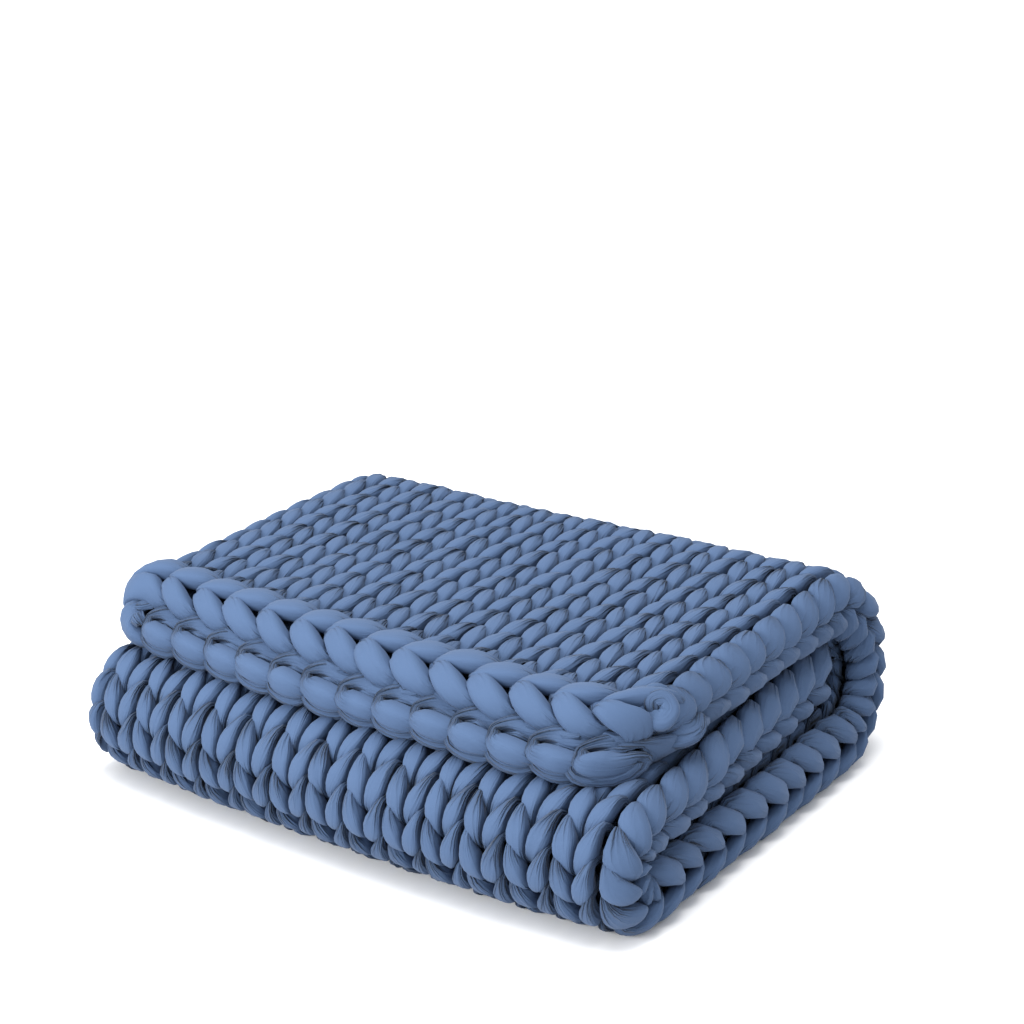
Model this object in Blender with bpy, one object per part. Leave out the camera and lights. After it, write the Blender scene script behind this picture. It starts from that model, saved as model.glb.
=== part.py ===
"""Chunky hand-knitted weighted blanket, folded.

The blanket is one panel of fat jersey yarn, knitted in plain stocking stitch.
It is folded in half across its width, with the fold at the left end (-X), and the
doubled cloth is then folded in thirds: it starts at the bound-off edge on top at
the front, runs back over the top, round the big back fold, forward underneath,
round the front fold and back again inside.

The solid is that doubled cloth: a U-shaped section, whose two legs are the two
halves of the panel, carried along the folding path.  The stitches are raised in
its outer face, and every layer stands a little apart from the next.

Units are metres.  +X runs along the folded width, +Y to the back, +Z up.
"""

import math

import bmesh
import bpy
import numpy as np

# --- the knitting ---------------------------------------------------------
WALES = 14  # columns of stitches in each half of the width
WALE = 0.0457  # width of one column
COLUMNS = 4  # mesh columns over one wale

# --- the folded layers ----------------------------------------------------
LAYER = 0.0345  # height of one layer of cloth with the gap over it
GAP = 0.003  # gap between neighbouring layers
FOLD_SPAN = 0.390  # between the centres of the front and back folds
FRONT_BOW = 0.028  # the front fold bulges this far forward
BOW_PEAK = 0.30  # where it bulges most, as a share of the width from the right end
EDGE_SETBACK = 0.045  # from the front fold's centre back to the bound-off edge
CORNER_BACK = 0.040  # the edge is drawn back this far at its right corner
CORNER_WALES = 1.6  # over this many wales
INNER_PROUD = 0.65  # the inner half's edge lies this many courses further forward
INNER_REACH = 0.012  # the inner end goes this far past the back fold's centre
SWELL = 0.055  # the right back corner is this share higher than the left front

# The path of the doubled cloth, in order from the bound-off edge.
# courses: rows of stitches on the section; turn: radius of a fold in layers;
# level: height of the doubled cloth's middle, or of the fold's centre, in layers
# spread: how much further out the right end lies where the section ends
# rows: mesh rows over one raised course, 0 where no course is raised
SECTIONS = (
    {"name": "top", "courses": 9, "turn": 0, "level": 5, "spread": 0.0, "rows": 3},
    {"name": "back fold", "courses": 8, "turn": 2, "level": 3, "spread": 0.024, "rows": 2},
    {"name": "bottom", "courses": 10, "turn": 0, "level": 1, "spread": 0.034, "rows": 0},
    {"name": "front fold", "courses": 5, "turn": 1, "level": 2, "spread": 0.030, "rows": 2},
    {"name": "middle", "courses": 10, "turn": 0, "level": 3, "spread": -0.006, "rows": 2},
)

# --- the raised stitches --------------------------------------------------
CREST = LAYER - GAP / 2  # outer face at the fat middle of a stitch's arm
NECK = 0.005  # how far the face sinks where one arm dips under the next
FURROW = 0.011  # how far it sinks between the arms
CHEVRON = 0.62  # how far the V of a stitch points along the courses
# The mesh rows over one course.  at: share of the course; full: how full the arm is there
ROWS = {
    2: ({"at": 0.0, "full": 0.0}, {"at": 0.48, "full": 1.0}),
    3: ({"at": 0.0, "full": 0.0}, {"at": 0.30, "full": 1.0}, {"at": 0.66, "full": 0.85}),
}
# The bound-off chain along the first course, from its face to its tip.
# course: place along the path; proud: over the face; hollow: opens the slot; lobe: bulge of a link
EDGE_ROWS = (
    {"course": -0.50, "proud": -0.011, "hollow": 0.004, "lobe": 0.24},
    {"course": -0.34, "proud": -0.003, "hollow": 0.002, "lobe": 0.26},
    {"course": -0.08, "proud": 0.002, "hollow": 0.0, "lobe": 0.10},
)
SELVEDGE_LOOP = 0.007  # loops of the side edge stand out this much

HALF_FOLD = 0.6  # wales of each half that go into the left fold
KNIT_TO = 15  # wales whose stitches are raised, round the left fold
TIP = 0.004  # the side edges' tips stand out this far
TIP_RISE = 0.5  # and at this share of the crest's height
INSIDE_KNIT = 2  # courses past the front fold whose stitches are raised
PLAIN_AFTER = 0.9  # plain rings begin this many courses past the raised ones
PLAIN_BEFORE = 0.6  # and end this many before they go on
UNDER_RINGS = 4  # plain rings underneath
INNER_RINGS = 5  # plain rings over the hidden end
PLAIN_STEPS = 4  # mesh columns over a hidden half
FOLD_STEPS = 3  # mesh columns round the left fold, where it is plain
COLOUR = (0.115, 0.19, 0.40, 1.0)

LEFT_CENTRE = -0.5 * (WALES - HALF_FOLD) * WALE
RIGHT_END = -LEFT_CENTRE
STRAIGHT = WALES - HALF_FOLD
ALL_COURSES = sum(s["courses"] for s in SECTIONS)


def section_at(course):
    """The section that holds a course, how far along it lies, and the right end's spread."""
    first, spread = 0, 0.0
    for section in SECTIONS:
        t = (course - first) / section["courses"]
        if t <= 1 or section is SECTIONS[-1]:
            return section, t, spread + (section["spread"] - spread) * min(1.0, max(0.0, t))
        first, spread = first + section["courses"], section["spread"]


def path(course, from_right):
    """(y, z) of the doubled cloth's middle, and its outward normal.

    from_right is the share of the width from the right end, 0, to the left fold, 1.
    """
    section, t, _ = section_at(course)
    level = section["level"] * LAYER - GAP / 2
    front = -FRONT_BOW * (1 - ((from_right - BOW_PEAK) / (1 - BOW_PEAK)) ** 2)
    back = FOLD_SPAN
    corner = max(0.0, 1 - from_right * STRAIGHT / CORNER_WALES)
    edge = front + EDGE_SETBACK + CORNER_BACK * corner**2
    if section["name"] == "top":
        return edge + (back - edge) * t, level, 0.0, 1.0
    if section["name"] == "bottom":
        return back + (front - back) * t, level, 0.0, -1.0
    if section["name"] == "middle":
        return front + (back + INNER_REACH - front) * t, level, 0.0, 1.0
    radius = section["turn"] * LAYER
    if section["name"] == "back fold":
        centre, angle = back, math.pi * (0.5 - t)
    else:
        centre, angle = front, -math.pi * (0.5 + t)
    ny, nz = math.cos(angle), math.sin(angle)
    return centre + radius * ny, level + radius * nz, ny, nz


def place(course, wale, out):
    """A point of the section: course along the path, wale round the U, out from its middle.

    wale counts from the right end of the outer half, round the left fold, to the
    right end of the inner half.
    """
    turned = min(1.0, max(0.0, (wale - STRAIGHT) / (2 * HALF_FOLD)))
    course -= INNER_PROUD * turned * min(1.0, max(0.0, 1 - course / 2))
    from_end = wale if wale < WALES else 2 * WALES - wale
    from_right = min(1.0, from_end / STRAIGHT)
    y, z, ny, nz = path(course, from_right)
    right = RIGHT_END + section_at(course)[2]
    turn = turned * math.pi
    x = right + (LEFT_CENTRE - right) * from_right - out * math.sin(turn)
    y += ny * out * math.cos(turn)
    z += nz * out * math.cos(turn)
    swell = SWELL * (1 - from_right) * min(1.0, max(0.0, y / FOLD_SPAN))
    return x, y, z * (1 + swell)


def stitch(wale, full):
    """(shift along the courses, depth under the crest) of a stitch's mesh point."""
    side = abs((wale + 0.5) % 1.0 - 0.5) * 2  # 0 between the wales, 1 in a wale's middle
    on_arm = 1 - abs(side - 0.5) * 2
    return CHEVRON * side, FURROW + (NECK * (1 - full) - FURROW) * on_arm


def link(wale):
    """How fat the bound-off chain is at a wale, from 0 between two links to 1."""
    return abs(math.sin(math.pi * wale))


def columns(fine_from, fine_to, per_wale):
    """The wales of a ring's outer points, close together between two wales."""
    fold_end = STRAIGHT + 2 * HALF_FOLD
    plain = list(np.linspace(0, STRAIGHT, 2 * PLAIN_STEPS))
    plain += list(np.linspace(STRAIGHT, fold_end, FOLD_STEPS + 1))[1:]
    plain += list(np.linspace(KNIT_TO, 2 * WALES, PLAIN_STEPS + 1))
    steps = round((fine_to - fine_from) * per_wale)
    fine = [fine_from + c / per_wale for c in range(steps + 1)] if steps else []
    rest = [w for w in plain if not fine or w < fine_from - 0.01 or w > fine_to + 0.01]
    return sorted(fine + rest)


def slot_points(course, hollow, loop):
    """The slot side of a ring, with the two tips of the section at its ends."""
    points = []
    half = list(np.linspace(0, STRAIGHT, PLAIN_STEPS))
    for wale in half:
        points.append((wale, place(course, wale, GAP / 2 + hollow)))
    x, y, z = place(course, WALES, 0.0)
    points.append((WALES, (x - GAP / 2, y, z)))
    for wale in reversed(half):
        points.append((2 * WALES - wale, place(course, 2 * WALES - wale, GAP / 2 + hollow)))
    tips = []
    for wale in (0, 2 * WALES):
        x, y, z = place(course, wale, TIP_RISE * CREST)
        tips.append((wale, (x + TIP + loop, y, z)))
    return [tips[0]] + points + [tips[1]]


def knit_ring(course, full):
    """A ring through the raised stitches."""
    outer = []
    for wale in columns(0, KNIT_TO, COLUMNS):
        shift, depth = stitch(wale, full)
        fade = min(1.0, max(0.0, KNIT_TO - wale))
        outer.append((wale, place(course + shift * fade, wale, CREST - depth * fade)))
    return outer, slot_points(course, 0.0, SELVEDGE_LOOP * full)


def plain_ring(course):
    """A ring where the face is hidden or lies flat."""
    outer = [(wale, place(course, wale, CREST)) for wale in columns(0, 0, 0)]
    return outer, slot_points(course, 0.0, 0.0)


def edge_ring(row):
    """A ring through the bound-off chain."""
    outer = []
    for wale in columns(0, 2 * WALES, 2):
        course = row["course"] - row["lobe"] * link(wale)
        outer.append((wale, place(course, wale, CREST + row["proud"])))
    return outer, slot_points(row["course"], row["hollow"], 0.0)


def rings():
    """Every ring along the path, from the bound-off edge to the inner end."""
    found = [edge_ring(row) for row in EDGE_ROWS]
    starts = np.cumsum([0] + [s["courses"] for s in SECTIONS])
    under, front, inside = starts[2], starts[3], starts[4] + INSIDE_KNIT

    def knit(start, end):
        for course in range(start, end):
            for row in ROWS[section_at(course + 0.5)[0]["rows"]]:
                if course + row["at"] > 0:
                    found.append(knit_ring(course + row["at"], row["full"]))

    knit(0, under)
    for course in np.linspace(under + PLAIN_AFTER, front - PLAIN_BEFORE, UNDER_RINGS):
        found.append(plain_ring(course))
    knit(front, inside)
    for course in np.linspace(inside + PLAIN_AFTER, ALL_COURSES, INNER_RINGS):
        found.append(plain_ring(course))
    return found


def strip(bm, left, right):
    """Faces between two runs of (wale, vertex) that may have different counts."""
    i, j = 0, 0
    while i < len(left) - 1 or j < len(right) - 1:
        if j == len(right) - 1:
            ahead = True
        elif i == len(left) - 1:
            ahead = False
        else:
            ahead = left[i + 1][0] <= right[j + 1][0]
        if ahead:
            bm.faces.new((left[i][1], left[i + 1][1], right[j][1]))
            i += 1
        else:
            bm.faces.new((left[i][1], right[j + 1][1], right[j][1]))
            j += 1


def build_cloth():
    """The folded blanket as one closed mesh."""
    bm = bmesh.new()
    runs = []
    for ring in rings():
        runs.append([[(wale, bm.verts.new(p)) for wale, p in run] for run in ring])
    for (outer, slot), (next_outer, next_slot) in zip(runs, runs[1:]):
        strip(bm, next_outer, outer)
        strip(bm, slot, next_slot)
        strip(bm, [outer[0], slot[0]], [next_outer[0], next_slot[0]])
        strip(bm, [slot[-1], outer[-1]], [next_slot[-1], next_outer[-1]])
    strip(bm, *runs[0])
    strip(bm, *reversed(runs[-1]))
    bmesh.ops.recalc_face_normals(bm, faces=bm.faces)
    low = np.min([v.co for v in bm.verts], axis=0)
    high = np.max([v.co for v in bm.verts], axis=0)
    centre = (low + high) / 2
    for v in bm.verts:
        v.co = (v.co[0] - centre[0], v.co[1] - centre[1], v.co[2] - low[2])
    mesh = bpy.data.meshes.new("knitted_blanket")
    bm.to_mesh(mesh)
    bm.free()
    return mesh


def jersey():
    """Matt blue cotton jersey."""
    material = bpy.data.materials.new("blue_jersey")
    material.use_nodes = True
    shader = material.node_tree.nodes["Principled BSDF"]
    shader.inputs["Base Color"].default_value = COLOUR
    shader.inputs["Roughness"].default_value = 0.85
    shader.inputs["Metallic"].default_value = 0.0
    return material


def main():
    for old in list(bpy.data.objects):
        bpy.data.objects.remove(old, do_unlink=True)
    mesh = build_cloth()
    mesh.materials.append(jersey())
    blanket = bpy.data.objects.new("knitted_blanket", mesh)
    bpy.context.scene.collection.objects.link(blanket)


main()
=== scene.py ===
"""Dresses the folded chunky-knit blanket with its real loops of jersey yarn.

Every course of the knitting is a tube of yarn that runs through its stitches.  A
stitch is drawn once, flat, from the table STITCH; the courses repeat it with small
differences, and knit_point lays it on the folded cloth.

A place on the cloth is counted in wales, which are columns of stitches, and in
courses, which are rows of stitches.  Wales count from the right end of the outer
half, round the left fold, to the right end of the inner half.  Courses count from
the bound-off edge.  Lengths are in metres.
"""

import math

import bpy
import numpy as np
from bpy.props import FloatProperty, FloatVectorProperty, PointerProperty
from mathutils import Matrix, Vector


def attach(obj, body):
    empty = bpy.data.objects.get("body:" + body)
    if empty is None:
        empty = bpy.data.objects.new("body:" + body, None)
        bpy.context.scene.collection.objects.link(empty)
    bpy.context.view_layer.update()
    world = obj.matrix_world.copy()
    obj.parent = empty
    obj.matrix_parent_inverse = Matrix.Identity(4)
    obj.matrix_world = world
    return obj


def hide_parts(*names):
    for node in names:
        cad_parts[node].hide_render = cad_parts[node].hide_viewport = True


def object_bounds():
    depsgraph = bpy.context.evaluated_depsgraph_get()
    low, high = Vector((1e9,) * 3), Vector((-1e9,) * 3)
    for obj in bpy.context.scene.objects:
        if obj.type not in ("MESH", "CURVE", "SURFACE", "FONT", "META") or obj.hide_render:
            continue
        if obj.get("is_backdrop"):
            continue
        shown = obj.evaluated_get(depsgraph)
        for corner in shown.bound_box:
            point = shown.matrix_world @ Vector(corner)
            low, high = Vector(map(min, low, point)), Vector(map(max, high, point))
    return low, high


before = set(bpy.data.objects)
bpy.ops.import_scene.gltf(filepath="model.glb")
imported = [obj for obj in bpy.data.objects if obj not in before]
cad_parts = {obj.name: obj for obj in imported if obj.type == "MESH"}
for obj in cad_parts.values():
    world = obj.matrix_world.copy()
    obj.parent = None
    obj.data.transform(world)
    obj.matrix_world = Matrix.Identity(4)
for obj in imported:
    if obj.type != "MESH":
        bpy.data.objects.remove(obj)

bl_info = {
    "name": "Chunky-knit folded blanket",
    "version": (1, 0, 0),
    "blender": (4, 5, 0),
    "location": "View3D > Sidebar > Blanket",
    "description": "Builds the loops, edges, finish and studio of a folded chunky-knit blanket",
    "category": "Add Mesh",
}

CAD_LOW, CAD_HIGH = (list(corner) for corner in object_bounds())
NODE = "knitted_blanket"
SEED = 7

# --- the knitting and its folds, as in the solid ---------------------------
WALES = 14  # columns of stitches in each half of the width
WALE = 0.0457  # width of one column
COURSE = 0.037  # length of one course where the cloth lies flat
LAYER = 0.0345  # height of one layer of cloth with the gap over it
GAP = 0.003  # gap between neighbouring layers
FOLD_SPAN = 0.390  # between the centres of the front and back folds
FRONT_BOW = 0.028  # the front fold bulges this far forward
BOW_PEAK = 0.30  # where it bulges most, as a share of the width from the right end
EDGE_SETBACK = 0.045  # from the front fold's centre back to the bound-off edge
CORNER_BACK = 0.040  # the edge is drawn back this far at its right corner
CORNER_WALES = 1.6  # over this many wales
INNER_PROUD = 0.65  # the inner half's edge lies this many courses further forward
INNER_FADE = 2  # courses over which it does
INNER_REACH = 0.012  # the inner end goes this far past the back fold's centre
SWELL = 0.055  # the right back corner is this share higher than the left front
HALF_FOLD = 0.6  # wales that each half of the width gives to the left fold
# The path of the doubled cloth, in order from the bound-off edge.
# turn: radius of a fold in layers; level: height of the cloth or of the fold's centre,
# in layers; spread: how much further out the right end lies where the section ends
SECTIONS = (
    {"name": "top", "courses": 9, "turn": 0, "level": 5, "spread": 0.0},
    {"name": "back fold", "courses": 8, "turn": 2, "level": 3, "spread": 0.024},
    {"name": "bottom", "courses": 10, "turn": 0, "level": 1, "spread": 0.034},
    {"name": "front fold", "courses": 5, "turn": 1, "level": 2, "spread": 0.030},
    {"name": "middle", "courses": 10, "turn": 0, "level": 3, "spread": -0.006},
)
COURSES = sum(section["courses"] for section in SECTIONS)
STRAIGHT = WALES - HALF_FOLD
LEFT_CENTRE = -0.5 * STRAIGHT * WALE  # x of the left fold's centre
RIGHT_END = -LEFT_CENTRE  # x of the side edges on top
CREST = LAYER - GAP / 2  # the cloth's outer face, from the middle of the doubled cloth
HALF_OUT = (CREST + GAP / 2) / 2  # the middle of one thickness of it, from there too
CORNER_SAMPLES = {"course": 345, "wale": 113}  # places that find the cloth's corners

# --- the side edges' curl, and the unevenness of the cloth ------------------
CURL_FROM = 0.5  # the side edges roll to the reverse from this far in, in wales
CURL_RADIUS = 0.021  # of the cloth's middle where it rolls
CURL_MOST = 88  # degrees
# How far the stitches stray, slowly over DRIFT_STEP stitches and quickly from one to
# the next: along in courses, across in wales
DRIFT_STEP, TWITCH_STEP = 3.0, 1.0
DRIFT_SIZE = {"along": 0.10, "across": 0.06, "out": 0.0012}
TWITCH_SIZE = {"along": 0.05, "across": 0.03}
STEADY_COURSES = 2  # the straying dies away over so many courses to either end,
STEADY_EDGE = 1.0  # so many wales to the side edges
STEADY_FOLD = 1.5  # and so many wales to the left fold
PRESSED_FROM = 0.0012  # yarn lower than this is pressed flat by the floor,
PRESSED_SHARE = 0.12  # down to this share of its depth
LOWEST = 0.0002  # and never lower than this

# --- one stitch ------------------------------------------------------------
# The columns of a control row.  The first two are places in wales and in courses,
# out is from the cloth's middle, and wide and thick are half sizes of the yarn.
# face: which way the yarn's outer side looks, in degrees from outward
# crease: how deep the jersey's folds are there, and how much painted shade darkens the yarn
AT_WALE, AT_COURSE, OUT, WIDE, THICK, FACE, CREASE = range(7)
# A row that is laid out on the cloth has more of them.
# arm: 1 on an arm of the stitch; side: on which side of the wale's middle it lies, or 0
# middle: the wale's middle; lot: what sets the stitch's own creases
# bound: how far from the middle the arm may reach; pivot: the course that a leaning
# stitch turns about
ARM, SIDE, MIDDLE, LOT, BOUND, PIVOT = range(7, 13)

# Half a stitch.  The places are from the wale's middle, and up the wale.
STITCH = (
    # wale, course, out, wide, thick, face, crease
    (0.50, -0.34, -0.0104, 0.0092, 0.0070, -180, 0.5),  # strand between two wales
    (0.34, -0.35, -0.0102, 0.0090, 0.0070, -175, 0.6),
    (0.20, -0.31, -0.0090, 0.0076, 0.0062, -130, 0.8),
    (0.112, -0.17, -0.0030, 0.0044, 0.0042, -84, 1.0),  # root, up through the stitch below
    (0.114, -0.02, 0.0080, 0.0034, 0.0054, -32, 1.0),
    (0.164, 0.26, 0.0104, 0.0068, 0.0080, -8, 0.8),
    (0.236, 0.62, 0.0090, 0.0112, 0.0098, 0, 0.3),  # fat middle of the arm
    (0.318, 0.95, 0.0066, 0.0100, 0.0094, 8, 0.2),
    (0.388, 1.24, 0.0016, 0.0066, 0.0080, 20, 0.7),
    (0.440, 1.48, -0.0044, 0.0044, 0.0056, 45, 1.0),  # tip, down under the next stitch
    (0.40, 1.66, -0.0095, 0.0066, 0.0060, 120, 0.9),
    (0.20, 1.72, -0.0116, 0.0090, 0.0062, 175, 0.6),
    (0.00, 1.74, -0.0120, 0.0100, 0.0062, 180, 0.5),  # head of the loop
)
HEAD = len(STITCH) - 1
STITCH_ROWS = 2 * HEAD  # control rows from one stitch to the next
ARM_FROM, ARM_TO = 3, 9  # rows of STITCH between the wale's middle and its border
ROOT_ROWS = (3, 4)  # rows of STITCH where an arm rises from the back
BACK_DEPTH = -0.0088  # the yarn lies on the cloth's back where it is deeper than this
BACK_SHARE = 0.5  # of the roots' widening that the yarn on the back takes part in
HELD_SHARE = 0.45  # of their length past the edge that the inner half's first loops keep
ARM_BOUND = 0.488  # an arm stays this close to its wale's middle, in wales,
ARM_CLEAR = 0.5 - ARM_BOUND  # and this far away from it
FREE_BOUND = 1.0  # the arm at a side edge may reach this far
EDGE_REACH = 0.35  # the arms at a side edge reach this much further out
EDGE_FATNESS = 0.15  # and are this much wider there
PRESS_SOFTNESS = 0.05  # of the shoulder where an arm meets its neighbour, in wales
FACE_MOST = 60  # degrees within which the yarn's outer side lies in sight
CREASE_SHARE = (0.45, 1.15)  # of an arm's creases, from the smoothest to the most creased
# How much one arm differs from another: across, wide and thick as shares, along in courses
ARM_VARIETY = {"wide": 0.07, "thick": 0.05, "along": 0.05, "out": 0.0008, "across": 0.06}
LEAN = 0.06  # wales to the left that the front fold's stitches go for each course down
LEAN_ABOUT = 0.7  # the place on a stitch that stays where it is, in courses up the wale
LEAN_COURSES = (26, 38)  # the courses that lean
LEAN_FADE = 2.0  # wales or courses over which the lean comes in

# The yarn's turn at a side edge, from one course to the next.
# wale: past the edge; course: from the first course's strand to the next one's
TURN = (
    # wale, course, out, wide, thick, face, crease
    (-0.14, 0.06, -0.0085, 0.0082, 0.0072, -150, 0.8),
    (-0.26, 0.28, -0.0050, 0.0088, 0.0080, -120, 0.5),
    (-0.30, 0.52, -0.0035, 0.0090, 0.0084, -120, 0.3),
    (-0.24, 0.76, -0.0050, 0.0088, 0.0080, -150, 0.6),
    (-0.12, 0.95, -0.0085, 0.0082, 0.0072, -170, 0.8),
)
TURN_CUTS = 2  # cuts from one row of TURN to the next

# --- the bound-off edge -----------------------------------------------------
# One link of the chain, from its hidden start over its upper arm, round the hidden
# head and back over its lower arm.  The places are along the edge from the link's
# middle, and from the first course.
LINK = (
    # wale, course, out, wide, thick, face, crease
    (-0.60, -0.15, -0.0030, 0.0070, 0.0070, -40, 0.9),
    (-0.54, -0.22, 0.0070, 0.0085, 0.0080, -20, 0.8),
    (-0.38, -0.16, 0.0135, 0.0120, 0.0095, -8, 0.25),
    (-0.10, -0.02, 0.0160, 0.0140, 0.0100, -4, 0.05),  # fat middle of the upper arm
    (0.22, 0.12, 0.0155, 0.0132, 0.0100, -4, 0.15),
    (0.50, 0.24, 0.0115, 0.0100, 0.0090, -6, 0.7),
    (0.72, 0.26, 0.0040, 0.0072, 0.0075, -10, 1.0),
    (0.88, 0.10, -0.0030, 0.0070, 0.0070, 10, 0.8),
    (0.94, -0.12, -0.0060, 0.0070, 0.0070, 40, 0.5),  # hidden head
    (0.86, -0.40, -0.0110, 0.0078, 0.0075, 80, 0.9),
    (0.62, -0.62, -0.0100, 0.0100, 0.0090, 90, 0.6),
    (0.28, -0.72, -0.0030, 0.0128, 0.0100, 74, 0.15),
    (-0.04, -0.66, 0.0050, 0.0140, 0.0100, 58, 0.05),  # fat middle of the lower arm
    (-0.32, -0.50, 0.0105, 0.0122, 0.0095, 42, 0.25),
    (-0.50, -0.34, 0.0070, 0.0088, 0.0080, 30, 0.8),
    (-0.58, -0.20, -0.0030, 0.0070, 0.0070, 20, 0.9),
)
# One link on the inner half: the bump behind it fans out under the edge on top, turns
# forward and down as the link's fat arm, and comes back thin along its lower side.
INNER_LINK = (
    # wale, course, out, wide, thick, face, crease
    (-0.60, 0.20, -0.0080, 0.0080, 0.0080, 170, 0.9),
    (-0.52, 0.02, -0.0150, 0.0120, 0.0090, 150, 0.6),
    (-0.26, -0.08, -0.0180, 0.0140, 0.0085, 140, 0.4),  # fan
    (0.06, -0.18, -0.0195, 0.0115, 0.0080, 135, 0.5),
    (0.34, -0.35, -0.0190, 0.0076, 0.0066, 130, 0.85),
    (0.50, -0.54, -0.0165, 0.0054, 0.0052, 120, 1.0),
    (0.46, -0.64, -0.0120, 0.0070, 0.0068, 108, 1.0),
    (0.38, -0.73, -0.0080, 0.0102, 0.0094, 92, 0.5),
    (0.16, -0.77, -0.0060, 0.0120, 0.0104, 88, 0.1),
    (-0.12, -0.75, -0.0040, 0.0122, 0.0104, 84, 0.05),  # fat arm
    (-0.38, -0.66, -0.0015, 0.0104, 0.0095, 74, 0.35),
    (-0.54, -0.50, 0.0020, 0.0074, 0.0074, 60, 0.9),
    (-0.50, -0.50, 0.0080, 0.0066, 0.0062, 60, 0.9),
    (-0.22, -0.66, 0.0120, 0.0080, 0.0070, 68, 0.5),  # thin way back
    (0.15, -0.74, 0.0105, 0.0084, 0.0072, 74, 0.45),
    (0.46, -0.74, 0.0050, 0.0076, 0.0066, 80, 0.8),
    (0.60, -0.60, -0.0040, 0.0060, 0.0056, 84, 1.0),
)
INNER_FROM = 15  # the first wale that belongs to the inner half
LINK_CUTS = 42
EDGE_RING = 20  # points round the yarn of the chain, the coil and the tail
# How much one link differs from another: long and fat as shares, the rest as in LINK
LINK_VARIETY = {"long": 0.05, "wale": 0.05, "course": 0.05, "out": 0.0013, "fat": 0.08}
# How the two links at the right ends of the edge differ from the others.  ahead: how
# far their two arms reach past the link's middle; behind: and before it; slim: how wide
WHOLE = {"ahead": (1.0, 1.0), "behind": 1.0, "slim": 1.0}
OUTER_LAST = {"ahead": (0.42, 0.74), "behind": 1.0, "slim": 0.84}
INNER_LAST = {"ahead": (1.0, 1.0), "behind": 0.62, "slim": 0.96}

# The yarn's end at the right of the bound-off edge: a coil with a dimple, and its tail.
# turn: degrees round the coil's axis; reach: from its middle; rise: along its axis
KNOT = (
    # turn, reach, rise, wide, thick, crease
    (-335, 0.0130, -0.0240, 0.0080, 0.0070, 0.9),
    (-300, 0.0180, -0.0120, 0.0086, 0.0078, 0.5),
    (-265, 0.0190, -0.0060, 0.0088, 0.0080, 0.3),
    (-215, 0.0135, -0.0040, 0.0094, 0.0082, 0.4),
    (-150, 0.0112, -0.0005, 0.0106, 0.0092, 0.15),
    (-80, 0.0108, 0.0012, 0.0110, 0.0094, 0.1),
    (-10, 0.0104, 0.0022, 0.0106, 0.0092, 0.15),
    (60, 0.0098, 0.0036, 0.0100, 0.0088, 0.3),
    (130, 0.0086, 0.0046, 0.0090, 0.0080, 0.6),
    (190, 0.0060, 0.0024, 0.0068, 0.0062, 1.0),
    (245, 0.0030, -0.0080, 0.0050, 0.0050, 1.0),
)
KNOT_AXIS = (0.50, -0.60, 0.62)  # which way its dimple looks
KNOT_PLACE = (0.2925, -0.1510, 0.1930)
# The middle line of the tail that is tucked in under the coil
TAIL = (
    # x, y, z, wide, thick, crease
    (0.264, -0.134, 0.1700, 0.0080, 0.0075, 0.9),
    (0.280, -0.146, 0.1645, 0.0120, 0.0085, 0.7),
    (0.299, -0.137, 0.1630, 0.0145, 0.0090, 0.45),
    (0.312, -0.119, 0.1655, 0.0130, 0.0085, 0.6),
    (0.306, -0.100, 0.1700, 0.0080, 0.0070, 1.0),
)
END_CUTS = 5  # cuts from one row of KNOT or TAIL to the next

# --- the yarn's section -----------------------------------------------------
FLATNESS = 0.70  # 1 is an oval, less is flatter with fuller corners
CROWDING = 0.35  # of the points round the yarn, on its outer side
CREASE_DEPTH = 0.30  # how far the jersey's folds cut into the pinched yarn
# The lengthwise folds come in two kinds.  The first sways as it runs along the yarn,
# and the second turns faster from one stitch to the next.
FOLDS_ROUND = (4, 7)  # folds of each kind round the yarn
FOLD_SWAY = {"angle": 0.4, "length": 0.013}
FOLD_SLIP = 2.3
FOLD_SHARPNESS = 1.5
YARN_REPEAT = 0.1  # length of yarn over which the finish repeats once

# --- the pieces of knitting -------------------------------------------------
# How finely a piece is drawn.  ring: points round the yarn
# cuts: places on half a stitch, in rows of STITCH, where it gets a ring
# roots: how much wider the arms are where they rise, which narrows the holes between them
FINE = {
    "ring": 18,
    "roots": 1.0,
    "cuts": (
        0, 1, 2, 2.6, 3.1, 3.6, 4.1, 4.6, 5.1, 5.6, 6.1, 6.6, 7.1, 7.6, 8.2, 8.8, 9.6, 10.7,
    ),
}
PLAIN = {
    "ring": 12,
    "roots": 1.8,
    "cuts": (0, 1.2, 2.4, 3.4, 4.3, 5.2, 6.1, 7, 8, 9, 10.2, 11.2),
}
HIDDEN = {
    "ring": 10,
    "roots": 1.8,
    "cuts": (0, 1.8, 3.2, 4.6, 6, 7.4, 9, 10.6),
}
OUTER_HALF, INNER_HALF = (0, INNER_FROM), (INNER_FROM, 2 * WALES)
# The courses and wales of each piece, and how finely it is drawn
KNITTING = {
    "knit_top": ((0, 10), OUTER_HALF, FINE),
    "knit_back_fold": ((10, 18), OUTER_HALF, PLAIN),
    "knit_underside": ((18, 26), OUTER_HALF, PLAIN),
    "knit_front_fold": ((26, 36), OUTER_HALF, FINE),
    "knit_inside": ((36, COURSES), OUTER_HALF, HIDDEN),
    "knit_inner_half": ((0, COURSES), INNER_HALF, HIDDEN),
}
SEED_STEP = 31  # keeps the pieces' chances apart
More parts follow.
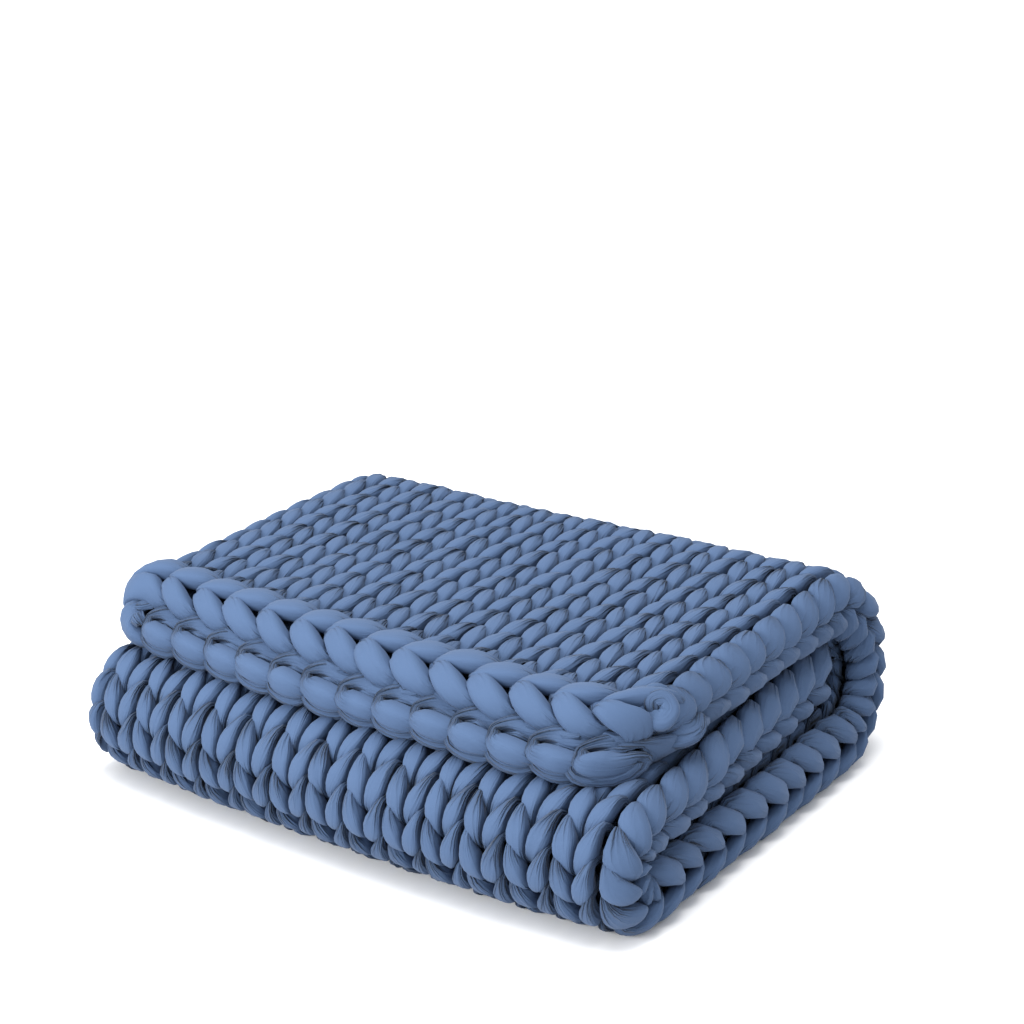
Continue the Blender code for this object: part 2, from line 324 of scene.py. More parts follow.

# --- the jersey's finish, and its painted shade -----------------------------
# Creases: narrow valleys in a noise that is stretched along the yarn.
# around, along: how often it changes round the yarn and over YARN_REPEAT
DEEP_CREASES = {"around": 6.0, "along": 1.5, "sharp": 9.0}
FINE_CREASES = {"around": 11.0, "along": 1.8, "sharp": 4.0}
CREASE_NOISE = {"detail": 1, "rough": 0.4}
FINE_ON_ARMS = 0.035  # strength of the fine creases on the smooth arms,
FINE_WHERE_PINCHED = 0.30  # and how much is added where the yarn is pinched
PINCH_POWER = 1.6  # how soon the creases fade where the yarn fattens
CREASE_HEIGHT = 0.0050
GRAIN = {"scale": 900.0, "detail": 2.0, "height": 0.0006, "strength": 0.35}
CLOUD = {"scale": 14.0, "detail": 3.0, "least": 0.25, "gain": 0.5}
TINTS = (0.93, 1.07)  # of the yarn's colour, from its darker to its lighter clouds
PAINTED_SHADE_SHARE = 0.25  # share of the yarn's colour that painted shade leaves where the yarn is most pinched

# --- the studio -------------------------------------------------------------
SENSOR = 36  # width in millimetres
SIGHT = 100  # how far the camera sees
FLOOR_HALF = 30
SOFT_BOXES = (
    {"name": "soft_box_above", "place": (0.1, -0.2, 3.5), "size": 2.6, "power": 108},
    {"name": "soft_box_front", "place": (-0.9, -3.8, 1.4), "size": 2.0, "power": 160},
)
LIT_POINT = (0, 0, 0.1)  # what the soft boxes are turned to
ROOM_LIGHT = {"colour": (0.98, 0.99, 1.01), "strength": 1.0}


def section_values(course, key):
    """A column of SECTIONS at each course, and how far along its section the course lies."""
    ends = np.cumsum([section["courses"] for section in SECTIONS])
    index = np.minimum(np.searchsorted(ends, course), len(SECTIONS) - 1)
    starts = np.concatenate([[0], ends[:-1]])
    lengths = np.array([section["courses"] for section in SECTIONS], float)
    values = np.array([section[key] for section in SECTIONS])
    return index, values[index], (course - starts[index]) / lengths[index]


def path(course, from_right):
    """(y, z) of the doubled cloth's middle, and its outward normal, for arrays."""
    index, level, t = section_values(course, "level")
    level = level * LAYER - GAP / 2
    front = -FRONT_BOW * (1 - ((from_right - BOW_PEAK) / (1 - BOW_PEAK)) ** 2)
    back = FOLD_SPAN
    corner = np.maximum(0.0, 1 - from_right * STRAIGHT / CORNER_WALES)
    edge = front + EDGE_SETBACK + CORNER_BACK * corner**2
    radius = section_values(course, "turn")[1] * LAYER
    back_turn = math.pi * (0.5 - t)
    front_turn = -math.pi * (0.5 + t)
    flat = np.zeros_like(t)
    where = [index == i for i in range(len(SECTIONS))]
    y = np.select(where, [
        edge + (back - edge) * t,
        back + radius * np.cos(back_turn),
        back + (front - back) * t,
        front + radius * np.cos(front_turn),
        front + (back + INNER_REACH - front) * t,
    ])
    z = level + np.select(
        where, [flat, radius * np.sin(back_turn), flat, radius * np.sin(front_turn), flat]
    )
    ny = np.select(where, [flat, np.cos(back_turn), flat, np.cos(front_turn), flat])
    nz = np.select(where, [flat + 1, np.sin(back_turn), flat - 1, np.sin(front_turn), flat + 1])
    return y, z, ny, nz


def cloth_point(course, wale, out):
    """Points of the folded cloth, as in the solid, for arrays of places.

    out is measured from the middle of the doubled cloth.
    """
    turned = np.clip((wale - STRAIGHT) / (2 * HALF_FOLD), 0.0, 1.0)
    course = course - INNER_PROUD * turned * np.clip(1 - course / INNER_FADE, 0.0, 1.0)
    from_end = np.where(wale < WALES, wale, 2 * WALES - wale)
    from_right = np.minimum(1.0, from_end / STRAIGHT)
    y, z, ny, nz = path(course, from_right)
    index, spread, t = section_values(course, "spread")
    before = np.concatenate([[0.0], [section["spread"] for section in SECTIONS[:-1]]])[index]
    right = RIGHT_END + before + (spread - before) * np.clip(t, 0.0, 1.0)
    turn = turned * math.pi
    x = right + (LEFT_CENTRE - right) * from_right - out * np.sin(turn)
    y = y + ny * out * np.cos(turn)
    z = z + nz * out * np.cos(turn)
    swell = SWELL * (1 - from_right) * np.clip(y / FOLD_SPAN, 0.0, 1.0)
    return np.stack([x, y, z * (1 + swell)], axis=-1)


def raw_corners():
    """Lowest and highest corners of the cloth, before it is set down where the frame has it."""
    wale = np.linspace(0, 2 * WALES, CORNER_SAMPLES["wale"])[None, :]
    course = np.linspace(0, COURSES, CORNER_SAMPLES["course"])[:, None]
    wale, course = np.broadcast_arrays(wale, course)
    points = cloth_point(course, wale, np.full(wale.shape, CREST)).reshape(-1, 3)
    return points.min(axis=0), points.max(axis=0)


RAW_LOW, RAW_HIGH = raw_corners()
SHIFT = np.array([CAD_LOW[0] - RAW_LOW[0], CAD_HIGH[1] - RAW_HIGH[1], 0.0])


class Wander:
    """Smooth unevenness over the courses and wales, from -1 to 1."""

    spare = 6  # more values than the cloth needs, for yarn that reaches past its edges
    before = 2  # so many of them before the first course or wale

    def __init__(self, rng, step):
        self.step = step
        shape = (int(COURSES / step) + self.spare, int(2 * WALES / step) + self.spare)
        self.values = rng.uniform(-1, 1, shape)

    def __call__(self, course, wale):
        a = np.clip(course / self.step + self.before, 0, self.values.shape[0] - 2)
        b = np.clip(wale / self.step + self.before, 0, self.values.shape[1] - 2)
        i, j = a.astype(int), b.astype(int)
        s, t = a - i, b - j
        s, t = s * s * (3 - 2 * s), t * t * (3 - 2 * t)
        v = self.values
        near = v[i, j] * (1 - t) + v[i, j + 1] * t
        far = v[i + 1, j] * (1 - t) + v[i + 1, j + 1] * t
        return near * (1 - s) + far * s


RNG = np.random.default_rng(SEED)
DRIFT_ALONG, DRIFT_ACROSS, DRIFT_OUT = (Wander(RNG, DRIFT_STEP) for _ in range(3))
TWITCH_ALONG, TWITCH_ACROSS = (Wander(RNG, TWITCH_STEP) for _ in range(2))


def curled(wale, out):
    """Rolls the side edges to the reverse.  Gives the new wale place and out."""
    from_edge = np.minimum(wale, 2 * WALES - wale)
    rolled = np.clip((CURL_FROM - from_edge) / CURL_FROM, 0, None)
    angle = np.minimum(rolled * CURL_FROM * WALE / CURL_RADIUS, math.radians(CURL_MOST))
    rolled_out = (CURL_RADIUS + out) * np.cos(angle) - CURL_RADIUS
    past = (CURL_RADIUS + out) * np.sin(angle) / WALE
    edge = np.where(rolled > 0, CURL_FROM - past, from_edge)
    wale = np.where(wale < WALES, edge, 2 * WALES - edge)
    return wale, np.where(rolled > 0, rolled_out, out)


def knit_point(course, wale, out):
    """Points of the uneven cloth, in the frame.  out is from the middle of one thickness."""
    inside = (
        np.clip(course / STEADY_COURSES, 0, 1)
        * np.clip((COURSES - course) / STEADY_COURSES, 0, 1)
    )
    ends = np.clip(np.minimum(wale, 2 * WALES - wale) / STEADY_EDGE, 0, 1)
    fold = np.clip(np.abs(wale - WALES) / STEADY_FOLD, 0, 1)
    along = course + inside * (
        DRIFT_SIZE["along"] * DRIFT_ALONG(course, wale)
        + TWITCH_SIZE["along"] * TWITCH_ALONG(course, wale)
    )
    across = wale + ends * fold * (
        DRIFT_SIZE["across"] * DRIFT_ACROSS(course, wale)
        + TWITCH_SIZE["across"] * TWITCH_ACROSS(course, wale)
    )
    across, out = curled(across, out)
    out = out + HALF_OUT + DRIFT_SIZE["out"] * DRIFT_OUT(course, wale)
    points = cloth_point(along, across, out) + SHIFT
    z = points[..., 2]
    pressed = PRESSED_FROM + PRESSED_SHARE * (z - PRESSED_FROM)
    points[..., 2] = np.maximum(np.where(z < PRESSED_FROM, pressed, z), LOWEST)
    return points


def catmull(values, at):
    """Values of a smooth curve through the rows of values, at fractional rows."""
    last = len(values) - 1
    i = np.clip(np.floor(at).astype(int), 0, last - 1)
    t = (at - i)[:, None]
    a, b = values[np.maximum(i - 1, 0)], values[i]
    c, d = values[i + 1], values[np.minimum(i + 2, last)]
    bend = (2 * a - 5 * b + 4 * c - d) * t**2 + (3 * b - a - 3 * c + d) * t**3
    return 0.5 * (2 * b + (c - a) * t + bend)


def stray(rng, most):
    """A seeded chance difference, up to most either way."""
    return most * rng.uniform(-1, 1)


def stitch_rows():
    """The control rows of one whole stitch, from its right strand over the head to its left."""
    half = np.array(STITCH, float)
    mirrored = half[::-1][1:].copy()
    mirrored[:, AT_WALE] *= -1
    return np.concatenate([half, mirrored[:-1]])


def stitch_cuts(cuts):
    """The cuts of half a stitch, mirrored over the whole stitch."""
    return list(cuts) + [HEAD] + [STITCH_ROWS - cut for cut in reversed(cuts) if cut > 0]


def course_yarn(course, first, last, roots, rng):
    """Control rows of the yarn of one course between two wales, with all columns."""
    template = stitch_rows()
    count = len(template)
    arm = np.zeros(count)
    arm[ARM_FROM:ARM_TO + 1] = 1
    arm[count - ARM_TO:count - ARM_FROM + 1] = 1
    both_roots = [*ROOT_ROWS, *(count - np.array(ROOT_ROWS))]
    halves = slice(0, len(STITCH)), slice(len(STITCH), count)
    rows = []
    for wale in range(first, last):
        r = template.copy()
        r[both_roots, WIDE] *= roots
        if course == 0 and first >= INNER_FROM:
            held = 1 + HELD_SHARE * (r[:, AT_COURSE] - 1)
            r[:, AT_COURSE] = np.minimum(r[:, AT_COURSE], held)
        else:
            r[r[:, OUT] < BACK_DEPTH, WIDE] *= 1 + BACK_SHARE * (roots - 1)
        bound = np.full(count, ARM_BOUND)
        for half, at_edge in zip(halves, (wale == 0, wale == 2 * WALES - 1)):
            if at_edge:
                reach = np.clip(r[half, AT_COURSE], 0, 1)
                r[half, AT_WALE] *= 1 + EDGE_REACH * reach
                r[half, WIDE] *= 1 + EDGE_FATNESS * reach
                bound[half] = FREE_BOUND
            on_face = np.abs(r[half, FACE]) < FACE_MOST
            r[half, CREASE] *= np.where(on_face, rng.uniform(*CREASE_SHARE), 1)
            r[half, WIDE] *= 1 + stray(rng, ARM_VARIETY["wide"])
            r[half, THICK] *= 1 + stray(rng, ARM_VARIETY["thick"])
            r[half, AT_COURSE] += stray(rng, ARM_VARIETY["along"])
            r[half, OUT] += stray(rng, ARM_VARIETY["out"])
            r[half, AT_WALE] *= 1 + stray(rng, ARM_VARIETY["across"])
        r[0, AT_WALE] = 0.5  # the strand starts where the last stitch's ends
        side = -np.sign(r[:, AT_WALE])
        middle = wale + 0.5
        lot = rng.uniform(0, 1)
        pivot = course + 1 - LEAN_ABOUT
        rows.append(np.column_stack([
            middle - r[:, AT_WALE], course + 1 - r[:, AT_COURSE], r[:, OUT:],
            arm, side, np.full(count, middle), np.full(count, lot), bound, np.full(count, pivot),
        ]))
    rows = np.concatenate(rows)
    closing = rows[0].copy()  # the yarn ends at the border with the next wale
    closing[AT_WALE] = last
    closing[ARM] = 0
    return np.vstack([rows, closing])


def yarn_cuts(stitches, detail):
    """Where the control rows of a run of stitches are cut into mesh rings."""
    one = np.array(stitch_cuts(detail["cuts"]), float)
    cuts = np.concatenate([one + STITCH_ROWS * k for k in range(stitches)])
    return np.append(cuts, STITCH_ROWS * stitches)


def rings_of(rows, cuts, ring):
    """Mesh points of a yarn along its control rows.

    Works in the flat cloth, where a wale and a course have their plain sizes, and
    then lays the points on the folded cloth.  Gives points (cuts, ring, 3), the
    creases at each point and the length along the yarn.
    """
    at = catmull(rows[:, :ARM], cuts)
    nearest = rows[np.clip(np.round(cuts).astype(int), 0, len(rows) - 1)]
    side, middle, bound, pivot = (nearest[:, k, None] for k in (SIDE, MIDDLE, BOUND, PIVOT))
    centre = np.column_stack([at[:, AT_WALE] * WALE, -at[:, AT_COURSE] * COURSE, at[:, OUT]])
    points, crease, length = tube_points(centre, at, ring, nearest[:, LOT])
    # an arm is pressed flat against its neighbours at the wale's middle and border
    off = (points[..., 0] / WALE - middle) * side
    pressed = soft_between(off, ARM_CLEAR, bound, PRESS_SOFTNESS)
    weight = smooth_weight(nearest[:, ARM])[:, None]
    off = off * (1 - weight) + pressed * weight
    wale = middle + off * np.where(side == 0, 1, side)
    course = -points[..., 1] / COURSE
    wale = wale + stitch_lean(wale, course) * (pivot - course)
    return knit_point(course, wale, points[..., 2]), crease, length


def stitch_lean(wale, course):
    """How far a stitch of the front fold leans to the left, in wales for each course."""
    low, high = LEAN_COURSES
    lean = LEAN
    for inward in (wale, WALES + 1 - wale, course - low, high - course):
        lean = lean * np.clip(inward / LEAN_FADE, 0, 1)
    return lean


def chain_link(table, wale, rng, shape):
    """One link of the bound-off chain at a wale."""
    rows = np.array(table, float)
    rows[:, WIDE] *= shape["slim"]
    rows[:, AT_WALE] *= 1 + stray(rng, LINK_VARIETY["long"])
    half = len(rows) // 2
    for part, share in zip((slice(0, half), slice(half, None)), shape["ahead"]):
        rows[part, AT_WALE] *= np.where(rows[part, AT_WALE] > 0, share, shape["behind"])
        rows[part, AT_WALE] += stray(rng, LINK_VARIETY["wale"])
        rows[part, AT_COURSE] += stray(rng, LINK_VARIETY["course"])
        rows[part, OUT] += stray(rng, LINK_VARIETY["out"])
        rows[part, [WIDE, THICK]] *= 1 + stray(rng, LINK_VARIETY["fat"])
    at = catmull(rows, np.linspace(0, len(rows) - 1, LINK_CUTS))
    centre = np.column_stack([-at[:, AT_WALE] * WALE, -at[:, AT_COURSE] * COURSE, at[:, OUT]])
    lot = rng.uniform(0, 1) * np.ones(LINK_CUTS)
    points, crease, length = tube_points(centre, at, EDGE_RING, lot)
    x, y, out = np.moveaxis(points, -1, 0)
    return knit_point(-y / COURSE, wale + x / WALE, out), crease, length


def yarn_end(centre, wide, thick, crease, up):
    """A short length of yarn given by its middle line, with its flat side looking up."""
    rows = np.column_stack([centre, wide, thick, np.zeros(len(wide)), crease])
    at = catmull(rows, np.linspace(0, len(rows) - 1, (len(rows) - 1) * END_CUTS + 1))
    return tube_points(at[:, :3], at, EDGE_RING, np.zeros(len(at)), up)


def knot():
    """The coil at the yarn's end."""
    turn, reach, rise, *sizes = np.array(KNOT, float).T[..., None]
    axis = np.array(KNOT_AXIS) / np.linalg.norm(KNOT_AXIS)
    east = np.cross((0.0, 0.0, 1.0), axis)
    east /= np.linalg.norm(east)
    north = np.cross(axis, east)
    turn = np.radians(turn)
    spoke = np.cos(turn) * east + np.sin(turn) * north
    return yarn_end(np.array(KNOT_PLACE) + reach * spoke + rise * axis, *sizes, axis)


def tail():
    """The yarn's tail under the coil."""
    x, y, z, *sizes = np.array(TAIL).T
    return yarn_end(np.column_stack([x, y, z]), *sizes, np.array(KNOT_AXIS))


def tube_points(centre, at, ring, lot, upward=None):
    """Points round a yarn's centre line.  at holds wide, thick, face and crease.

    The yarn's outer side looks along upward, or as its face says in the flat cloth.
    """
    tangent = np.gradient(centre, axis=0)
    tangent /= np.linalg.norm(tangent, axis=1)[:, None]
    face = np.radians(at[:, FACE])
    up = np.column_stack([np.zeros(len(face)), np.sin(face), np.cos(face)])
    if upward is not None:
        up = np.tile(upward, (len(face), 1))
    up -= (up * tangent).sum(axis=1)[:, None] * tangent
    up /= np.linalg.norm(up, axis=1)[:, None]
    beside = np.cross(tangent, up)
    theta = 2 * np.pi * np.arange(ring) / ring
    theta = theta + CROWDING * np.cos(theta)
    length = np.concatenate([[0], np.cumsum(np.linalg.norm(np.diff(centre, axis=0), axis=1))])
    crease = np.broadcast_to(np.clip(at[:, CREASE], 0, 1)[:, None], (len(at), ring))
    turn = 2 * np.pi * lot[:, None]
    sway = FOLD_SWAY["angle"] * np.sin(length / FOLD_SWAY["length"])[:, None]
    first, second = (count * theta[None, :] for count in FOLDS_ROUND)
    folds = (np.cos(first + turn + sway) + np.cos(second - FOLD_SLIP * turn)) / 2
    gather = 1 - CREASE_DEPTH * crease * np.clip(folds, 0, 1) ** FOLD_SHARPNESS
    points = centre[:, None, :]
    for size, way, part in ((WIDE, beside, np.cos(theta)), (THICK, up, np.sin(theta))):
        reach = at[:, size, None] * (np.sign(part) * np.abs(part) ** FLATNESS) * gather
        points = points + reach[..., None] * way[:, None, :]
    return points, crease, length


def smooth_weight(arm):
    """Lets the pressing fade in and out along the yarn."""
    kernel = np.array([0.25, 0.5, 0.25])
    return np.convolve(np.pad(arm, 1, mode="edge"), kernel, mode="valid")


def soft_between(value, low, high, soft):
    """Holds a value between two bounds, with a soft shoulder."""
    value = low + soft * np.logaddexp(0, (value - low) / soft)
    return high - soft * np.logaddexp(0, (high - value) / soft)


class Pile:
    """Gathers many yarn tubes into one mesh."""

    def __init__(self):
        self.points, self.crease = [], []
        self.quads, self.uv = [], []
        self.tris, self.tri_uv = [], []
        self.count = 0

    def add_points(self, points, crease):
        """Adds points and gives their numbers."""
        first = self.count
        self.points.append(points)
        self.crease.append(crease)
        self.count += len(points)
        return np.arange(first, self.count)

    def tube(self, points, crease, length):
        """Adds a tube with closed ends."""
        n, ring, _ = points.shape
        index = self.add_points(points.reshape(-1, 3), crease.reshape(-1)).reshape(n, ring)
        after = np.roll(index, -1, axis=1)
        quads = np.stack([index[:-1], after[:-1], after[1:], index[1:]], axis=-1)
        self.quads.append(quads.reshape(-1, 4))
        u, v = np.arange(ring + 1) / ring, length / YARN_REPEAT
        corners = (u[:-1], v[:-1]), (u[1:], v[:-1]), (u[1:], v[1:]), (u[:-1], v[1:])
        uv = np.stack([np.stack(np.meshgrid(*corner), axis=-1) for corner in corners], axis=2)
        self.uv.append(uv.reshape(-1, 2))
        for row, order in ((0, -1), (-1, 1)):  # the two ends look opposite ways
            tip = self.add_points(points[row].mean(axis=0)[None], np.array([1.0]))
            fan = np.column_stack([index[row], after[row], np.tile(tip, ring)])
            self.tris.append(fan[:, ::order])
            self.tri_uv.append(np.zeros((ring * 3, 2)))

    def mesh(self, name, material):
        """The finished piece."""
        quads, tris = np.concatenate(self.quads), np.concatenate(self.tris)
        loops = np.concatenate([quads.reshape(-1), tris.reshape(-1)])
        sizes = np.concatenate([np.full(len(quads), 4), np.full(len(tris), 3)])
        starts = np.concatenate([[0], np.cumsum(sizes)[:-1]])
        mesh = bpy.data.meshes.new(name)
        mesh.vertices.add(self.count)
        mesh.vertices.foreach_set("co", np.concatenate(self.points).reshape(-1))
        mesh.loops.add(len(loops))
        mesh.loops.foreach_set("vertex_index", loops)
        mesh.polygons.add(len(sizes))
        mesh.polygons.foreach_set("loop_start", starts)
        mesh.polygons.foreach_set("loop_total", sizes)
        mesh.polygons.foreach_set("use_smooth", np.ones(len(sizes), bool))
        layer = mesh.uv_layers.new(name="yarn")
        layer.data.foreach_set("uv", np.concatenate(self.uv + self.tri_uv).reshape(-1))
        crease = mesh.attributes.new("crease", "FLOAT", "POINT")
        crease.data.foreach_set("value", np.concatenate(self.crease))
        mesh.update(calc_edges=True)
        mesh.validate()
        mesh.materials.append(material)
        piece = bpy.data.objects.new(name, mesh)
        bpy.context.scene.collection.objects.link(piece)
        return piece


def declare(piece):
    """Attaches a knitted piece to the root body, and hides the solid's blanket part."""
    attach(piece, "root")
    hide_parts(NODE)


def turned_rows(upper, lower, at_right):
    """Control rows of two courses joined by the yarn's turn at their right or inner edge."""
    end = 0 if at_right else -1
    start, stop = upper[end], lower[end]
    turn = []
    for row in np.array(TURN, float):
        r = start.copy()
        r[AT_WALE] = row[AT_WALE] if at_right else 2 * WALES - row[AT_WALE]
        r[AT_COURSE] = start[AT_COURSE] + (stop[AT_COURSE] - start[AT_COURSE]) * row[AT_COURSE]
        r[OUT:ARM] = row[OUT:]
        r[[ARM, SIDE]] = 0
        turn.append(r)
    if at_right:
        return np.vstack([upper[::-1], turn, lower])
    return np.vstack([upper, turn, lower[::-1]])


def turned_cuts(cuts, count, at_right):
    """Cuts of two joined courses, each with the given cuts and count of control rows."""
    last = count - 1
    turn = last + np.arange(1, (len(TURN) + 1) * TURN_CUTS) / TURN_CUTS
    beyond = count + len(TURN)
    if at_right:
        return np.concatenate([last - cuts[::-1], turn, beyond + cuts])
    return np.concatenate([cuts, turn, beyond + last - cuts[::-1]])


def knit_piece(name):
    """One piece of the knitting, course by course.

    Two courses that follow one another are one length of yarn, which turns round at
    the side edge.
    """
    (course, end), wales, detail = KNITTING[name]
    rng = np.random.default_rng(SEED + course * SEED_STEP + wales[0])
    at_right = wales[0] == 0
    pile = Pile()
    while course < end:
        cuts = yarn_cuts(wales[1] - wales[0], detail)
        rows = course_yarn(course, *wales, detail["roots"], rng)
        joined = course % 2 == (0 if at_right else 1) and course + 1 < end
        if joined:
            follower = course_yarn(course + 1, *wales, detail["roots"], rng)
            cuts = turned_cuts(cuts, len(rows), at_right)
            rows = turned_rows(rows, follower, at_right)
        pile.tube(*rings_of(rows, cuts, detail["ring"]))
        course += 2 if joined else 1
    return pile.mesh(name, jersey())


def jersey():
    """Matt cotton jersey, stretched into lengthwise folds where the yarn is pinched, and darkened
    there by painted shade.
    """
    name = "creased_jersey"
    if name in bpy.data.materials:
        return bpy.data.materials[name]
    look = bpy.context.scene.blanket_look
    material = bpy.data.materials.new(name)
    material.use_nodes = True
    nodes, links = material.node_tree.nodes, material.node_tree.links
    shader = nodes["Principled BSDF"]
    shader.inputs["Roughness"].default_value = 0.88
    shader.inputs["Specular IOR Level"].default_value = 0.25
    shader.inputs["Sheen Weight"].default_value = look.fuzz
    shader.inputs["Sheen Roughness"].default_value = 0.45
    uv = nodes.new("ShaderNodeUVMap")
    uv.uv_map = "yarn"
    crease = nodes.new("ShaderNodeAttribute")
    crease.attribute_name = "crease"

    def noise_node(place, scale, detail):
        node = nodes.new("ShaderNodeTexNoise")
        node.inputs["Scale"].default_value = scale
        node.inputs["Detail"].default_value = detail
        links.new(place, node.inputs["Vector"])
        return node

    def math_node(operation, *values):
        node = nodes.new("ShaderNodeMath")
        node.operation = operation
        for socket, value in zip(node.inputs, values):
            if isinstance(value, (int, float)):
                socket.default_value = value
            else:
                links.new(value, socket)
        return node.outputs[0]

    def bump_node(height, strength, distance):
        node = nodes.new("ShaderNodeBump")
        node.inputs["Strength"].default_value = strength
        node.inputs["Distance"].default_value = distance
        links.new(height, node.inputs["Height"])
        return node

    def mix_node(factor, a, b):
        node = nodes.new("ShaderNodeMix")
        node.data_type = "RGBA"
        links.new(factor, node.inputs["Factor"])
        for socket, value in ((node.inputs["A"], a), (node.inputs["B"], b)):
            if isinstance(value, tuple):
                socket.default_value = value
            else:
                links.new(value, socket)
        return node.outputs["Result"]

    def tinted(share):
        return (*[min(1, part * share) for part in look.colour], 1)

    def valleys(around, along, sharp):
        """Narrow dips along the middle heights of a stretched noise."""
        mapping = nodes.new("ShaderNodeMapping")
        mapping.inputs["Scale"].default_value = (around, along, 1)
        links.new(uv.outputs["UV"], mapping.inputs["Vector"])
        noise = noise_node(mapping.outputs["Vector"], 1.0, CREASE_NOISE["detail"])
        noise.inputs["Roughness"].default_value = CREASE_NOISE["rough"]
        centred = math_node("MULTIPLY_ADD", noise.outputs["Fac"], 2.0, -1.0)
        ridge = math_node("SUBTRACT", 1.0, math_node("ABSOLUTE", centred))
        return math_node("POWER", ridge, sharp)

    pinched = math_node("POWER", crease.outputs["Fac"], PINCH_POWER)
    deep = math_node("MULTIPLY", valleys(**DEEP_CREASES), pinched)
    strength = math_node("MULTIPLY_ADD", pinched, FINE_WHERE_PINCHED, FINE_ON_ARMS)
    fine = math_node("MULTIPLY", valleys(**FINE_CREASES), strength)
    height = math_node("SUBTRACT", 1.0, math_node("ADD", deep, fine))
    creased = bump_node(height, 1.0, CREASE_HEIGHT)
    place = nodes.new("ShaderNodeTexCoord").outputs["Object"]
    grain = noise_node(place, GRAIN["scale"], GRAIN["detail"])
    grained = bump_node(grain.outputs["Fac"], GRAIN["strength"], GRAIN["height"])
    links.new(creased.outputs["Normal"], grained.inputs["Normal"])
    links.new(grained.outputs["Normal"], shader.inputs["Normal"])

    cloud = noise_node(place, CLOUD["scale"], CLOUD["detail"])
    blend = math_node("MULTIPLY_ADD", cloud.outputs["Fac"], CLOUD["gain"], CLOUD["least"])
    clouded = mix_node(blend, *(tinted(share) for share in TINTS))
    # painted shade: the yarn's colour is darkened where it is pinched, in place of the shade that
    # falls in the dips between stitches
    shade = math_node("MULTIPLY", pinched, look.painted_shade_strength)
    links.new(mix_node(shade, clouded, tinted(PAINTED_SHADE_SHARE)), shader.inputs["Base Color"])
    return material


def add_camera(scene, studio):
    """The camera, turned left by its azimuth and down by its elevation."""
    lens = bpy.data.cameras.new("studio_camera")
    lens.lens = studio.focal
    lens.sensor_width = SENSOR
    lens.clip_end = SIGHT
    camera = bpy.data.objects.new("studio_camera", lens)
    az, el = studio.azimuth, studio.elevation
    forward = Vector((
        -math.sin(az) * math.cos(el), math.cos(az) * math.cos(el), -math.sin(el),
    ))
    right = Vector((math.cos(az), math.sin(az), 0))
    turn = Matrix((right, right.cross(forward), -forward)).transposed()
    camera.matrix_world = Matrix.Translation(Vector(studio.place)) @ turn.to_4x4()
    scene.collection.objects.link(camera)
    scene.camera = camera


def add_floor(scene, colour):
    """The pale studio floor."""
    finish = bpy.data.materials.new("floor_paper")
    finish.use_nodes = True
    shader = finish.node_tree.nodes["Principled BSDF"]
    shader.inputs["Base Color"].default_value = (*colour, 1)
    shader.inputs["Roughness"].default_value = 0.9
    mesh = bpy.data.meshes.new("floor")
    corners = [(FLOOR_HALF * x, FLOOR_HALF * y, 0) for x, y in ((-1, -1), (1, -1), (1, 1), (-1, 1))]
    mesh.from_pydata(corners, [], [(0, 1, 2, 3)])
    mesh.materials.append(finish)
    floor = bpy.data.objects.new("floor", mesh)
    scene.collection.objects.link(floor)
    floor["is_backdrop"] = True


def add_soft_box(scene, name, place, size, power):
    """A round soft light that looks at the blanket."""
    light = bpy.data.lights.new(name, "AREA")
    light.shape = "DISK"
    light.size = size
    light.energy = power
    lamp = bpy.data.objects.new(name, light)
    lamp.location = place
    aim = Vector(LIT_POINT) - Vector(place)
    lamp.rotation_euler = aim.to_track_quat("-Z", "Y").to_euler()
    scene.collection.objects.link(lamp)


def add_room_light(scene):
    """The even light of the room."""
    world = bpy.data.worlds.new("studio_light")
    scene.world = world
    world.use_nodes = True
    background = world.node_tree.nodes["Background"]
    background.inputs["Color"].default_value = (*ROOM_LIGHT["colour"], 1)
    background.inputs["Strength"].default_value = ROOM_LIGHT["strength"]


class BlanketLook(bpy.types.PropertyGroup):
    """Colours, finish and painted shade of the blanket."""

    colour: FloatVectorProperty(
        name="Yarn colour", description="Base colour of the jersey", subtype="COLOR",
        size=3, min=0, max=1, default=(0.0625, 0.0995, 0.1745),
    )
    fuzz: FloatProperty(
        name="Fuzz", description="How much the cotton's fine hairs catch the light",
        min=0, max=1, default=0.05,
    )
    # painted shade: how much the yarn's colour is darkened where it is pinched
    painted_shade_strength: FloatProperty(
        name="Fold shade", description="How much darker the yarn is where it is pinched",
        min=0, max=1, default=0.45,
    )
    floor_colour: FloatVectorProperty(
        name="Floor colour", description="Colour of the studio floor", subtype="COLOR",
        size=3, min=0, max=1, default=(0.79, 0.79, 0.79),
    )


class BlanketStudio(bpy.types.PropertyGroup):
    """Where the camera stands and how it looks."""

    focal: FloatProperty(
        name="Focal length", description="Of the camera, for a 36 mm sensor",
        min=10, max=300, default=99.98,
    )
    azimuth: FloatProperty(
        name="Camera azimuth", description="Turn of the view to the left", subtype="ANGLE",
        default=math.radians(34.09),
    )
    elevation: FloatProperty(
        name="Camera elevation", description="How far the view looks down", subtype="ANGLE",
        default=math.radians(20.18),
    )
    place: FloatVectorProperty(
        name="Camera place", description="Where the camera stands", subtype="TRANSLATION",
        unit="LENGTH", size=3, default=(1.5606, -2.2716, 1.2996),
    )


class OBJECT_OT_blanket_top(bpy.types.Operator):
    """Knit the courses on top."""

    bl_idname = "object.blanket_top"
    bl_label = "Top courses"

    def execute(self, context):
        declare(knit_piece("knit_top"))
        return {"FINISHED"}


